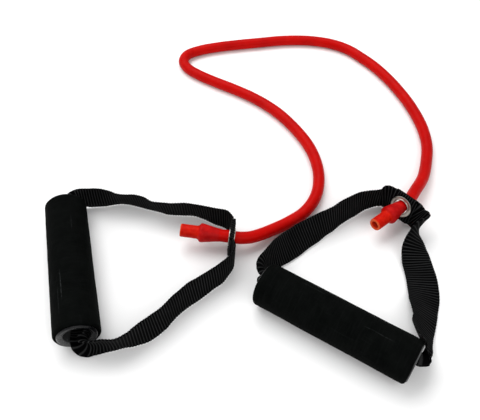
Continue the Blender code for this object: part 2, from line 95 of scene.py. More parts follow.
# ---------------------------------------------------------------- small tools
def catmull(points, per_segment=16):
    """Centripetal Catmull-Rom through points, each a tuple of any length (position first)."""
    pts = [list(map(float, p)) for p in points]
    first = [2 * a - b for a, b in zip(pts[0], pts[1])]
    last = [2 * a - b for a, b in zip(pts[-1], pts[-2])]
    pts = [first] + pts + [last]
    out = []
    for i in range(1, len(pts) - 2):
        quad = pts[i - 1:i + 3]
        t = [0.0]
        for a, b in zip(quad, quad[1:]):
            t.append(t[-1] + math.sqrt(max(1e-6, math.dist(a[:3], b[:3]))))
        for k in range(per_segment):
            u = t[1] + (t[2] - t[1]) * k / per_segment

            def mix(p, q, ta, tb):
                return [(tb - u) / (tb - ta) * x + (u - ta) / (tb - ta) * y for x, y in zip(p, q)]
            a1 = mix(quad[0], quad[1], t[0], t[1])
            a2 = mix(quad[1], quad[2], t[1], t[2])
            a3 = mix(quad[2], quad[3], t[2], t[3])
            b1 = mix(a1, a2, t[0], t[2])
            b2 = mix(a2, a3, t[1], t[3])
            out.append(mix(b1, b2, t[1], t[2]))
    out.append(pts[-2])
    return out


def resample(samples, step):
    """Read a dense polyline evenly, about every step mm."""
    total = [0.0]
    for a, b in zip(samples, samples[1:]):
        total.append(total[-1] + math.dist(a[:3], b[:3]))
    count = max(8, int(round(total[-1] / step)))
    out = []
    j = 0
    for i in range(count + 1):
        s = total[-1] * i / count
        while j < len(total) - 2 and total[j + 1] < s:
            j += 1
        f = (s - total[j]) / max(1e-9, total[j + 1] - total[j])
        out.append([x + (y - x) * f for x, y in zip(samples[j], samples[j + 1])])
    return out, total[-1]


def smoothstep(x):
    x = min(1.0, max(0.0, x))
    return x * x * (3 - 2 * x)


def new_object(name, verts, faces, material, smooth=True):
    mesh = bpy.data.meshes.new(name)
    mesh.from_pydata([tuple((Vector(v) + SHIFT) * MM) for v in verts], [], faces)
    mesh.update()
    mesh.materials.append(material)
    if smooth:
        mesh.shade_smooth()
    ob = bpy.data.objects.new(name, mesh)
    bpy.context.scene.collection.objects.link(ob)
    return ob


def outward(ob):
    bm = bmesh.new()
    bm.from_mesh(ob.data)
    bmesh.ops.recalc_face_normals(bm, faces=bm.faces)
    bm.to_mesh(ob.data)
    bm.free()


# ---------------------------------------------------------------- node tools
class Nodes:
    """A Principled material and short calls for the nodes that feed it."""

    def __init__(self, name):
        self.mat = bpy.data.materials.new(name)
        self.mat.use_nodes = True
        self.tree = self.mat.node_tree
        self.bsdf = self.tree.nodes["Principled BSDF"]

    def node(self, kind, **values):
        n = self.tree.nodes.new(kind)
        for key, value in values.items():
            if key.startswith("in_"):
                n.inputs[int(key[3:])].default_value = value
            else:
                setattr(n, key, value)
        return n

    def link(self, a, b):
        self.tree.links.new(a, b)

    def set(self, **values):
        for key, value in values.items():
            self.bsdf.inputs[key.replace("_", " ")].default_value = value

    def attribute(self, name):
        return self.node("ShaderNodeAttribute", attribute_name=name)

    def scaled(self, vector, scale):
        m = self.node("ShaderNodeMapping")
        m.inputs["Scale"].default_value = scale
        self.link(vector, m.inputs["Vector"])
        return m.outputs["Vector"]

    def noise(self, vector, scale, detail=3.0, rough=0.55, distortion=0.0):
        n = self.node("ShaderNodeTexNoise")
        n.inputs["Scale"].default_value = scale
        n.inputs["Detail"].default_value = detail
        n.inputs["Roughness"].default_value = rough
        n.inputs["Distortion"].default_value = distortion
        self.link(vector, n.inputs["Vector"])
        return n.outputs["Fac"]

    def voronoi(self, vector, scale, feature='F1', randomness=1.0):
        n = self.node("ShaderNodeTexVoronoi", feature=feature)
        n.inputs["Scale"].default_value = scale
        n.inputs["Randomness"].default_value = randomness
        self.link(vector, n.inputs["Vector"])
        return n.outputs["Distance"]

    def math(self, operation, a, b=0.0, clamp=False):
        n = self.node("ShaderNodeMath", operation=operation, use_clamp=clamp)
        for socket, value in ((n.inputs[0], a), (n.inputs[1], b)):
            if isinstance(value, (int, float)):
                socket.default_value = value
            else:
                self.link(value, socket)
        return n.outputs[0]

    def ramp(self, value, stops):
        n = self.node("ShaderNodeValToRGB")
        while len(n.color_ramp.elements) < len(stops):
            n.color_ramp.elements.new(0.5)
        for e, (at, colour) in zip(n.color_ramp.elements, stops):
            e.position = at
            e.color = (*colour, 1.0) if len(colour) == 3 else colour
        self.link(value, n.inputs["Fac"])
        return n.outputs["Color"]

    def spread(self, value, low, high, to_low, to_high):
        n = self.node("ShaderNodeMapRange")
        n.inputs["From Min"].default_value = low
        n.inputs["From Max"].default_value = high
        n.inputs["To Min"].default_value = to_low
        n.inputs["To Max"].default_value = to_high
        self.link(value, n.inputs["Value"])
        return n.outputs["Result"]

    def mix(self, factor, a, b, blend='MIX'):
        n = self.node("ShaderNodeMix", data_type='RGBA', blend_type=blend)
        for socket, value in ((n.inputs["Factor"], factor), (n.inputs["A"], a), (n.inputs["B"], b)):
            pass
        sockets = (n.inputs[0], n.inputs[6], n.inputs[7])
        for socket, value in zip(sockets, (factor, a, b)):
            if isinstance(value, (int, float)):
                socket.default_value = value
            elif isinstance(value, tuple):
                socket.default_value = (*value, 1.0)
            else:
                self.link(value, socket)
        return n.outputs[2]

    def bump(self, height, distance, strength=1.0, under=None):
        n = self.node("ShaderNodeBump")
        n.inputs["Strength"].default_value = strength
        n.inputs["Distance"].default_value = distance
        self.link(height, n.inputs["Height"])
        if under is not None:
            self.link(under, n.inputs["Normal"])
        return n.outputs["Normal"]

    def place(self):
        return self.node("ShaderNodeTexCoord").outputs["Object"]


def latex_material():
    m = Nodes("latex_red")
    p = m.place()
    stretch = m.attribute("stretch").outputs["Fac"]
    stub = m.attribute("stub").outputs["Fac"]
    cut = m.attribute("cut").outputs["Fac"]
    bore = m.attribute("bore").outputs["Fac"]
    cloud = m.noise(p, 45.0, 3.0)
    fine = m.noise(p, 420.0, 4.0)
    base = m.ramp(cloud, [(0.30, (0.40, 0.0010, 0.0005)), (0.72, (0.51, 0.0022, 0.0009))])
    base = m.mix(stretch, base, m.ramp(m.noise(p, 190.0, 3.0), [(0.35, (0.36, 0.0032, 0.0040)), (0.70, (0.50, 0.0075, 0.0070))]))
    base = m.mix(stub, base, m.ramp(fine, [(0.3, (0.44, 0.0036, 0.0012)), (0.7, (0.58, 0.0110, 0.0030))]))
    bloom = m.spread(m.noise(p, 160.0, 5.0, 0.7), 0.54, 0.80, 0.0, 0.035)
    base = m.mix(bloom, base, (0.70, 0.20, 0.15))
    base = m.mix(cut, base, m.ramp(fine, [(0.3, (0.60, 0.060, 0.012)), (0.7, (0.72, 0.12, 0.030))]))
    # painted light: the bore is painted a lighter, oranger red than the outside so that its self-shadowed inside still
    # looks lit
    base = m.mix(bore, base, (0.62, 0.035, 0.008))
    m.link(base, m.bsdf.inputs["Base Color"])
    m.link(m.spread(fine, 0.3, 0.7, 0.34, 0.46), m.bsdf.inputs["Roughness"])
    first = m.bump(m.noise(p, 900.0, 2.0), 0.00003, 0.5)
    m.link(m.bump(m.noise(p, 130.0, 3.0), 0.00012, 0.6, first), m.bsdf.inputs["Normal"])
    m.set(Specular_IOR_Level=0.05)
    return m.mat


def webbing_material():
    m = Nodes("webbing_black")
    p = m.place()
    web = m.node("ShaderNodeUVMap", uv_map="weave").outputs["UV"]
    parts = m.node("ShaderNodeSeparateXYZ")
    m.link(web, parts.inputs[0])
    along, across = parts.outputs["X"], parts.outputs["Y"]
    # warp yarns: fine ridges along the webbing, each float one rib long and half a yarn out of step with the next
    rib = m.math('FLOOR', m.math('MULTIPLY', along, 1.0 / 2.3))
    odd = m.math('MULTIPLY', m.math('MODULO', rib, 2.0), 0.5)
    yarn = m.math('SINE', m.math('MULTIPLY', m.math('ADD', m.math('MULTIPLY', across, 1.0 / 0.95), odd), 2 * math.pi))
    rib_wave = m.math('COSINE', m.math('MULTIPLY', along, 2 * math.pi / 2.3))
    weave = m.math('MULTIPLY', m.math('ADD', m.math('MULTIPLY', yarn, 0.5), 0.5), m.math('ADD', m.math('MULTIPLY', rib_wave, 0.35), 0.65))
    fibre = m.noise(m.scaled(web, (0.35, 3.0, 1.0)), 5.0, 2.0)
    height = m.math('ADD', weave, m.math('MULTIPLY', fibre, 0.5))
    # painted highlight and shade: the rib crests (mask below) take the lit colour and the grooves the dark one,
    # standing in for light catching the ribs; the dye noise varies both at random
    painted_crest_highlight = m.spread(m.math('ADD', rib_wave, m.math('MULTIPLY', m.math('SUBTRACT', fibre, 0.5), 0.9)), 0.42, 1.0, 0.0, 1.0)
    dye = m.noise(p, 60.0, 3.0)
    dark = m.ramp(dye, [(0.3, (0.0004, 0.0004, 0.0005)), (0.75, (0.0009, 0.0009, 0.0011))])
    lit = m.ramp(dye, [(0.3, (0.0190, 0.0195, 0.0198)), (0.75, (0.0340, 0.0346, 0.0352))])
    m.link(m.mix(painted_crest_highlight, dark, lit), m.bsdf.inputs["Base Color"])
    m.link(m.spread(fibre, 0.3, 0.7, 0.55, 0.72), m.bsdf.inputs["Roughness"])
    m.link(m.bump(height, 0.00010, 0.8), m.bsdf.inputs["Normal"])
    m.set(Specular_IOR_Level=0.014, Sheen_Weight=0.003, Sheen_Roughness=0.4)
    return m.mat


def foam_material(name, streaks):
    """Closed-cell foam, brushed and rubbed; each streak is (angle round the grip, its half width, from, to along it in m, how strong)."""
    m = Nodes(name)
    p = m.attribute("grip").outputs["Vector"]
    pores = m.voronoi(p, 1900.0)
    cells = m.noise(p, 900.0, 3.0, 0.7)
    cloud = m.noise(p, 62.0, 5.0, 0.68)
    brushed = m.noise(m.scaled(p, (60.0, 60.0, 700.0)), 1.0, 3.0, 0.6, 0.3)
    long = m.noise(m.scaled(p, (420.0, 420.0, 26.0)), 1.0, 3.0, 0.6, 0.4)
    scuff = m.spread(long, 0.62, 0.80, 0.0, 1.0)
    base = m.ramp(cloud, [(0.30, (0.0010, 0.0013, 0.0012)), (0.72, (0.0034, 0.0040, 0.0037))])
    base = m.mix(m.spread(brushed, 0.50, 0.75, 0.0, 0.40), base, (0.0062, 0.0070, 0.0068))
    # painted shade: the pits of the pores are darkened
    base = m.mix(m.spread(pores, 0.0, 0.35, 0.6, 0.0), base, (0.0003, 0.0004, 0.0004))
    base = m.mix(m.math('MULTIPLY', scuff, 0.45), base, (0.0085, 0.0098, 0.0095))
    sep = m.node("ShaderNodeSeparateXYZ")
    m.link(p, sep.inputs[0])
    round_it = m.math('ARCTAN2', sep.outputs["Y"], sep.outputs["X"])
    drift = m.math('MULTIPLY', m.math('SUBTRACT', m.noise(p, 90.0, 2.0), 0.5), 0.10)
    for angle, half_width, low, high, strength in streaks:
        off = m.math('ABSOLUTE', m.math('SUBTRACT', m.math('ADD', round_it, drift), angle))
        line = m.spread(off, half_width * 0.2, half_width, 1.0, 0.0)
        window = m.math('MULTIPLY', m.spread(sep.outputs["Z"], low, low + 0.006, 0.0, 1.0), m.spread(sep.outputs["Z"], high - 0.006, high, 1.0, 0.0))
        rough = m.spread(m.noise(p, 500.0, 2.0), 0.38, 0.62, 0.25, 1.0)
        base = m.mix(m.math('MULTIPLY', m.math('MULTIPLY', line, window), m.math('MULTIPLY', rough, strength)), base, (0.030, 0.033, 0.033))
    m.link(base, m.bsdf.inputs["Base Color"])
    m.link(m.spread(cloud, 0.3, 0.7, 0.70, 0.84), m.bsdf.inputs["Roughness"])
    first = m.bump(m.math('ADD', pores, m.math('MULTIPLY', cells, 0.7)), 0.00012, 0.8)
    second = m.bump(brushed, 0.00012, 0.6, first)
    m.link(m.bump(m.math('ADD', cloud, m.math('MULTIPLY', scuff, 0.2)), 0.0009, 0.5, second), m.bsdf.inputs["Normal"])
    m.set(Specular_IOR_Level=0.015)
    return m.mat


def cap_material(name, angle):
    """Glossy dark plastic, with a painted reflection: the side of the flange at angle (round the grip) is painted grey,
    standing in for the bright floor reflected there on the left caps and for a glint on the right caps.
    """
    m = Nodes(name)
    p = m.attribute("grip").outputs["Vector"]
    cloud = m.noise(p, 130.0, 4.0)
    scratch = m.noise(m.scaled(p, (900.0, 900.0, 160.0)), 1.0, 2.0, 0.5, 1.5)
    base = m.ramp(cloud, [(0.3, (0.0026, 0.0028, 0.0034)), (0.75, (0.0060, 0.0063, 0.0070))])
    sep = m.node("ShaderNodeSeparateXYZ")
    m.link(p, sep.inputs[0])
    toward = m.math('ADD', m.math('MULTIPLY', sep.outputs["X"], math.cos(angle) / 0.0135), m.math('MULTIPLY', sep.outputs["Y"], math.sin(angle) / 0.0135))
    toward = m.math('ADD', toward, m.math('MULTIPLY', m.math('SUBTRACT', cloud, 0.5), 0.35))
    # painted reflection: grey painted on the flange's side towards angle, standing in for the floor's reflection and a
    # glint; the scratch noise breaks it up
    painted_reflection_zone = m.math('MULTIPLY', m.spread(toward, 0.30, 0.95, 0.0, 1.0), m.spread(scratch, 0.30, 0.60, 0.70, 1.0))
    base = m.mix(painted_reflection_zone, base, (0.062, 0.064, 0.064))
    m.link(base, m.bsdf.inputs["Base Color"])
    m.link(m.spread(m.math('ADD', m.math('MULTIPLY', cloud, 0.5), m.math('MULTIPLY', scratch, 0.5)), 0.35, 0.65, 0.16, 0.32), m.bsdf.inputs["Roughness"])
    m.link(m.bump(scratch, 0.00003, 0.5), m.bsdf.inputs["Normal"])
    m.set(Specular_IOR_Level=0.30)
    return m.mat


def metal_material():
    m = Nodes("eyelet_nickel")
    p = m.place()
    cloud = m.noise(p, 260.0, 4.0, 0.6)
    fine = m.noise(p, 2400.0, 2.0)
    base = m.ramp(cloud, [(0.28, (0.36, 0.33, 0.29)), (0.70, (0.60, 0.57, 0.52))])
    m.link(base, m.bsdf.inputs["Base Color"])
    m.link(m.spread(m.math('ADD', m.math('MULTIPLY', cloud, 0.6), m.math('MULTIPLY', fine, 0.4)), 0.3, 0.7, 0.24, 0.44), m.bsdf.inputs["Roughness"])
    m.link(m.bump(fine, 0.00002, 0.4), m.bsdf.inputs["Normal"])
    m.set(Metallic=1.0)
    return m.mat


def plain_material(name, low, high, rough):
    """Moulded plastic of the pieces inside: the cores and the stop plugs."""
    m = Nodes(name)
    p = m.place()
    cloud = m.noise(p, 150.0, 4.0)
    m.link(m.ramp(cloud, [(0.3, low), (0.7, high)]), m.bsdf.inputs["Base Color"])
    m.link(m.spread(cloud, 0.3, 0.7, rough - 0.06, rough + 0.08), m.bsdf.inputs["Roughness"])
    m.link(m.bump(m.noise(p, 1500.0, 2.0), 0.00003, 0.5), m.bsdf.inputs["Normal"])
    return m.mat


MATS = {
    "latex": latex_material(),
    "webbing": webbing_material(),
    "foam_left": foam_material("foam_black_left", [(0.34, 0.030, 0.012, 0.040, 0.9), (0.52, 0.020, 0.026, 0.052, 0.5), (-0.35, 0.022, -0.040, -0.022, 0.4), (1.5, 0.03, -0.02, 0.02, 0.6)]),
    "foam_right": foam_material("foam_black_right", [(-0.45, 0.022, -0.035, -0.012, 0.5), (0.10, 0.020, 0.020, 0.046, 0.45), (2.4, 0.03, -0.02, 0.03, 0.6)]),
    "cap_left": cap_material("cap_dark_plastic_left", 2.2),
    "cap_right": cap_material("cap_dark_plastic_right", -0.5),
    "metal": metal_material(),
    "core": plain_material("core_grey_plastic", (0.10, 0.10, 0.105), (0.15, 0.15, 0.155), 0.5),
    "plug": plain_material("plug_white_nylon", (0.60, 0.58, 0.52), (0.72, 0.70, 0.66), 0.42),
}


# ---------------------------------------------------------------- camera, floor and lights
def stage():
    scene = bpy.context.scene
    cam = bpy.data.cameras.new("camera")
    cam.sensor_width = 36.0
    cam.lens = 46.5
    ob = bpy.data.objects.new("camera", cam)
    scene.collection.objects.link(ob)
    look_down = math.radians(52.0)
    reach = 552.0
    ob.location = (Vector((0.0, -reach * math.cos(look_down), reach * math.sin(look_down))) + SHIFT) * MM
    ob.rotation_euler = (math.pi / 2 - look_down, 0.0, 0.0)
    cam.clip_start, cam.clip_end = 0.01, 100.0
    scene.camera = ob

    size = 6.0
    mesh = bpy.data.meshes.new("floor")
    mesh.from_pydata([(-size, -size, 0), (size, -size, 0), (size, size, 0), (-size, size, 0)], [], [(0, 1, 2, 3)])
    m = Nodes("floor_pale")
    m.link(m.ramp(m.noise(m.place(), 3.0, 2.0), [(0.3, (0.93, 0.93, 0.93)), (0.7, (0.95, 0.95, 0.95))]), m.bsdf.inputs["Base Color"])
    m.set(Roughness=0.9, Specular_IOR_Level=0.1)
    mesh.materials.append(m.mat)
    floor = bpy.data.objects.new("floor", mesh)
    floor.location = (0.0, 0.0, -0.0002)
    scene.collection.objects.link(floor)

    world = bpy.data.worlds.new("studio")
    world.use_nodes = True
    world.node_tree.nodes["Background"].inputs[0].default_value = (1.0, 1.0, 1.0, 1.0)
    world.node_tree.nodes["Background"].inputs[1].default_value = 0.50
    scene.world = world
    scene.view_settings.view_transform = 'Standard'

    def area(name, place, aim, size, power):
        light = bpy.data.lights.new(name, 'AREA')
        light.shape = 'RECTANGLE'
        light.size, light.size_y = size
        light.energy = power
        o = bpy.data.objects.new(name, light)
        scene.collection.objects.link(o)
        o.location = place
        o.rotation_euler = (Vector(aim) - Vector(place)).to_track_quat('-Z', 'Y').to_euler()

    area("key", (-0.35, 0.70, 1.30), (0.0, 0.1, 0.0), (1.5, 1.0), 17.5)
    area("fill", (0.45, -0.95, 1.15), (0.0, 0.05, 0.0), (1.5, 1.0), 8.5)
    area("side", (-1.35, 0.0, 0.85), (0.0, 0.05, 0.0), (1.0, 1.0), 3.5)


stage()


# ---------------------------------------------------------------- latex tube
def tube_path():
    """Smooth centreline, cut end to cut end, with each plug's shoulder set along it, and the line's length."""
    ends = []
    for eye, axis, shoulder in ((LEFT_EYE, LEFT_AXIS, LEFT_SHOULDER), (RIGHT_EYE, RIGHT_AXIS, RIGHT_SHOULDER)):
        tip = shoulder + STUB_LEN
        marks = [tip, tip - 9.0, shoulder, shoulder - 8.0, max(6.0, shoulder - TAPER_LEN)]
        ends.append([eye + axis * m for m in marks])
    mid = [LEFT_EYE + LEFT_AXIS * 1.0, LEFT_EYE - LEFT_AXIS * 7.0]
    mid += [Vector(p) for p in TUBE_ROUTE]
    mid += [RIGHT_EYE - RIGHT_AXIS * 8.0, RIGHT_EYE + RIGHT_AXIS * 0.5]
    points = ends[0] + mid + ends[1][::-1]
    return resample(catmull([tuple(p) for p in points], 16), 1.0)


def tube_radius(d):
    """Outside radius at a distance d from the cut end: stub, shoulder, stretched bulge, taper, tube."""
    r = STUB_D / 2
    if d < 0.8:
        r -= 0.35 * (1 - d / 0.8) ** 2
    x = d - STUB_LEN
    if x <= -1.2:
        return r
    full = TUBE_D / 2 + (BULGE_D - TUBE_D) / 2 * (1 - smoothstep(min(1, max(0, (x - SHOULDER_LEN) / (TAPER_LEN - SHOULDER_LEN)))) * 0.25
                                                 - 0.75 * min(1, max(0, (x - SHOULDER_LEN) / (TAPER_LEN - SHOULDER_LEN))))
    rise = smoothstep((x + 1.2) / (SHOULDER_LEN + 1.6))
    r = STUB_D / 2 + (full - STUB_D / 2) * rise
    r += 0.22 * math.exp(-((x - TAPER_LEN + 1.0) / 1.1) ** 2)        # the plug's thin end shows as a slight step
    return r


def build_tube():
    path, length = tube_path()
    centre = [Vector(p) for p in path]
    n = len(centre)
    sides = 32
    step = length / (n - 1)
    tangent = [(centre[min(n - 1, i + 1)] - centre[max(0, i - 1)]).normalized() for i in range(n)]
    side = Vector((0, 0, 1)).cross(tangent[0]).normalized()
    frames = []
    for t in tangent:
        side = (side - t * side.dot(t)).normalized()
        frames.append((side.copy(), t.cross(side)))
    verts, faces, stretch, stub, cut, bore = [], [], [], [], [], []

    def ring(i, radius, swell):
        c, (a, b) = centre[i], frames[i]
        first = len(verts)
        d = min(i, n - 1 - i) * step
        x = d - STUB_LEN
        amount = smoothstep((x + 1.0) / 2.0) * (1 - smoothstep((x - 15.5) / 2.5))
        for k in range(sides):
            ang = 2 * math.pi * k / sides
            dir3 = a * math.cos(ang) + b * math.sin(ang)
            r = radius
            if swell:
                r += 0.06 * noise.noise(c * 0.035 + dir3 * 0.7) + 0.10 * amount * noise.noise(c * 0.12 + dir3 * 1.4)
            verts.append(c + dir3 * r)
            stretch.append(amount)
            stub.append(1.0 if d < STUB_LEN - 0.5 else 0.0)
            cut.append(1.0 if d < 0.5 else 0.0)
            bore.append(0.0 if swell else smoothstep(d / 2.5))
        return first

    def join(a, b, flip=False):
        for k in range(sides):
            k2 = (k + 1) % sides
            f = (a + k, a + k2, b + k2, b + k)
            faces.append(f[::-1] if flip else f)

    outer = [ring(i, tube_radius(min(i, n - 1 - i) * step), True) for i in range(n)]
    inner_r = STUB_D / 2 - TUBE_WALL
    inner = []
    for i in range(n):
        d = min(i, n - 1 - i) * step
        r = max(inner_r, tube_radius(d) - TUBE_WALL)
        if d < 0.6:
            r += 0.25 * (1 - d / 0.6)
        inner.append(ring(i, r, False))
    for a, b in zip(outer, outer[1:]):
        join(a, b)
    for a, b in zip(inner, inner[1:]):
        join(a, b, True)
    join(inner[0], outer[0])
    join(outer[-1], inner[-1])
    ob = new_object("latex_tube", verts, faces, MATS["latex"])
    outward(ob)
    for name, values in (("stretch", stretch), ("stub", stub), ("cut", cut), ("bore", bore)):
        attribute = ob.data.attributes.new(name, 'FLOAT', 'POINT')
        attribute.data.foreach_set("value", values)
    ob.data.set_sharp_from_angle(angle=math.radians(50))
    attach(ob, "tube")
    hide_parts("resistance_tube")
    return ob


build_tube()


# ---------------------------------------------------------------- webbing straps
RIB = 2.3                # pitch of the crosswise ribs
RIB_HIGH = 0.26


def core_stations(grip, yaw, turn_in, turn_out, tight=0.0):
    """The webbing's middle line through the core, mouth to mouth in travel order; the curl is turned about the grip's axis at each mouth."""
    u = Vector((math.cos(math.radians(yaw)), math.sin(math.radians(yaw)), 0.0))
    inner = Vector((-u.y, u.x, 0.0))
    up = Vector((0.0, 0.0, 1.0))
    mouth = FOAM_LEN / 2 + FLANGE_T + 0.6
    out = []
    for m in (-mouth, -mouth + 6, -mouth + 20, -15.0, 15.0, mouth - 20, mouth - 6, mouth):
        share = max(0.0, (abs(m) - 15.0) / (mouth - 15.0))
        a = math.radians((turn_in if m < 0 else turn_out) * share)
        away = inner * math.cos(a) + up * math.sin(a)
        bunch = tight * share if m > 0 else 0.0
        out.append((*(grip + u * m + away * (BELLY + 0.006 * bunch)), *(up * math.cos(a) - inner * math.sin(a)), CORE_CURL + bunch, 0.0))
    return out


def eye_stations(eye, normal, along, up, side, marks):
    return [(*(eye + along * m + normal * (LAYER * side)), *up, 0.0, 0.0) for m in marks]


def build_strap(name, stations, eye, normal, body, node, grip, yaw):
    rows, length = resample(catmull([(*s, 0.0)[:8] for s in stations], 14), RIB / 4)
    n = len(rows)
    step = length / (n - 1)
    cross = 18
    mids, normals = [], []
    u = Vector((math.cos(math.radians(yaw)), math.sin(math.radians(yaw)), 0.0))
    face, side = FOAM_LEN / 2 + FLANGE_T + WEB_T / 2 + RIB_HIGH + 0.25, FOAM_D / 2 + WEB_T / 2 + RIB_HIGH + 0.45

    def clear(p):
        """A point of the webbing outside the grip rests on the cap's face or on the foam, never in them."""
        v = p - grip
        m = v.dot(u)
        across = v - u * m
        r = across.length
        if r < CAP_HOLE_D / 2 - 0.7 or r > side or abs(m) > face:
            return p
        if face - abs(m) < side - r:
            return p + u * ((face - abs(m)) * (1 if m > 0 else -1)) if face - abs(m) < 6 else p
        return grip + u * m + across * (side / r) if side - r < 6 else p

    for i, row in enumerate(rows):
        a = Vector(rows[max(0, i - 3)][:3])
        b = Vector(rows[min(n - 1, i + 3)][:3])
        t = (b - a).normalized()
        w = Vector(row[3:6])
        w = (w - t * w.dot(t)).normalized()
        lag = row[7] * math.pi / 2
        nrm = t.cross(w) * math.cos(lag) - t * math.sin(lag)
        c = Vector(row[:3])
        curl = math.radians(max(0.0, row[6]))
        line, norms = [], []
        at = i * step
        to_end = min(at, length - at)
        corner = WEB_W / 2 - 2.2 + math.sqrt(max(0.0, 2.2 ** 2 - max(0.0, 2.2 - to_end) ** 2))
        loose = smoothstep((to_end - 24.0) / 14.0) * (1 - smoothstep((row[6] - 8.0) / 40.0))
        for k in range(cross + 1):
            d = 2 * corner * (k / cross - 0.5)
            if curl < 0.03:
                line.append(c + w * d)
                norms.append(nrm)
            else:
                radius = WEB_W / curl
                g = d / radius
                line.append(c + w * (radius * math.sin(g)) + nrm * (radius * (1 - math.cos(g))))
                norms.append(nrm * math.cos(g) - w * math.sin(g))
        # webbing that has been handled: slow ripples, stronger at the edges, and edges that wander a little
        for k in range(cross + 1):
            rim = abs(k / cross - 0.5) * 2
            ripple = noise.noise(Vector((at / 15.0, k / cross * 1.3, len(name)))) * (0.35 + 0.75 * rim) + 0.25 * noise.noise(Vector((at / 5.5, k / cross * 2.0, 7.0)))
            line[k] = line[k] + norms[k] * (ripple * loose) + w * (0.22 * rim * noise.noise(Vector((at / 7.0, 3.0 if k > cross / 2 else 8.0, 1.0))) * loose)
        line = [clear(v) for v in line]
        lift = max(0.0, WEB_T / 2 + 0.25 - min(v.z for v in line))
        mids.append([p + Vector((0, 0, lift)) for p in line])
        normals.append(norms)

    # the hole for the eyelet: points inside it move out to its edge, and faces inside it are left out
    hole = 7.3
    holed = []
    for i in range(n):
        s = i * step
        near_end = s < 40 or s > length - 40
        flags = []
        for k in range(cross + 1):
            gone = False
            if near_end:
                v = mids[i][k] - eye
                flat = v - normal * v.dot(normal)
                if flat.length < hole and abs(v.dot(normal)) < 6:
                    gone = True
            flags.append(gone)
        holed.append(flags)
    keep = {}
    for i in range(n - 1):
        for k in range(cross):
            corners = [(i, k), (i, k + 1), (i + 1, k + 1), (i + 1, k)]
            if sum(holed[a][b] for a, b in corners) >= 3:
                continue
            keep[(i, k)] = corners
    used = sorted({c for q in keep.values() for c in q})
    for i, k in used:
        if holed[i][k]:
            v = mids[i][k] - eye
            depth = normal * v.dot(normal)
            flat = v - depth
            mids[i][k] = eye + depth + flat.normalized() * hole
    # the eyelet's flanges press the webbing flat and it swells a little round them
    press, swell = {}, {}
    for i, k in used:
        s = i * step
        if not (s < 40 or s > length - 40):
            continue
        v = mids[i][k] - eye
        lift = v.dot(normal)
        flat = (v - normal * lift).length
        if abs(lift) > 3.0 or flat > 15.0:
            continue
        press[(i, k)] = 1 - smoothstep((flat - 9.95) / 0.9)
        swell[(i, k)] = smoothstep((flat - 9.95) / 0.9) * (1 - smoothstep((flat - 11.0) / 3.0))
        toward = 1.0 if lift > 0 else -1.0
        mids[i][k] = mids[i][k] + normal * (toward * (0.20 * swell[(i, k)] - 0.20 * press[(i, k)]))
    index = {c: j for j, c in enumerate(used)}
    m = len(used)
    verts, uvs = [], []
    for sign in (1.0, -1.0):
        for i, k in used:
            s = i * step
            d = WEB_W * (k / cross - 0.5)
            wave = 0.5 + 0.5 * math.cos(2 * math.pi * s / RIB)
            edge = min(k, cross - k) / cross * WEB_W
            half = WEB_T / 2 - RIB_HIGH + 2 * RIB_HIGH * wave ** 0.8
            flatten = press.get((i, k), 0.0)
            half = half * (1 - flatten) + 0.44 * flatten + 0.30 * swell.get((i, k), 0.0)
            if edge < 1.0:
                half *= 0.78 + 0.22 * edge
            verts.append(mids[i][k] + normals[i][k] * (half * sign))
            uvs.append((s, d))
    faces = []
    border = {}
    for q in keep.values():
        ids = [index[c] for c in q]
        faces.append(tuple(ids))
        faces.append(tuple(j + m for j in reversed(ids)))
        for a, b in zip(ids, ids[1:] + ids[:1]):
            if (b, a) in border:
                del border[(b, a)]
            else:
                border[(a, b)] = True
    # a rounded edge between the two faces, with the ribs showing in it
    where = {index[c]: c for c in used}
    middle = {}
    for a, b in border:
        for j in (a, b):
            if j not in middle:
                i, k = where[j]
                out = Vector((0, 0, 0))
                if k in (0, cross):
                    across = (mids[i][cross] - mids[i][cross - 1]) if k == cross else (mids[i][0] - mids[i][1])
                    wave = 0.5 + 0.5 * math.cos(2 * math.pi * i * step / RIB)
                    out = across.normalized() * (0.25 + 0.22 * wave)
                middle[j] = len(verts)
                verts.append(mids[i][k] + out)
                uvs.append((i * step, WEB_W * (k / cross - 0.5)))
    for a, b in border:
        faces.append((b, a, middle[a], middle[b]))
        faces.append((middle[b], middle[a], a + m, b + m))
    ob = new_object(name, verts, faces, MATS["webbing"])
    outward(ob)
    uv = ob.data.uv_layers.new(name="weave")
    loops = [0] * len(ob.data.loops)
    ob.data.loops.foreach_get("vertex_index", loops)
    flat = []
    for j in loops:
        flat.extend(uvs[j])
    uv.data.foreach_set("uv", flat)
    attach(ob, body)
    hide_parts(node)
    return ob


def strap_frame(normal, want_x):
    up = Vector((0, 0, 1))
    along = normal.cross(up).normalized()
    if want_x and along.x < 0:
        along = -along
    width = along.cross(normal).normalized()
    if width.z < 0:
        width = -width
    return along, width


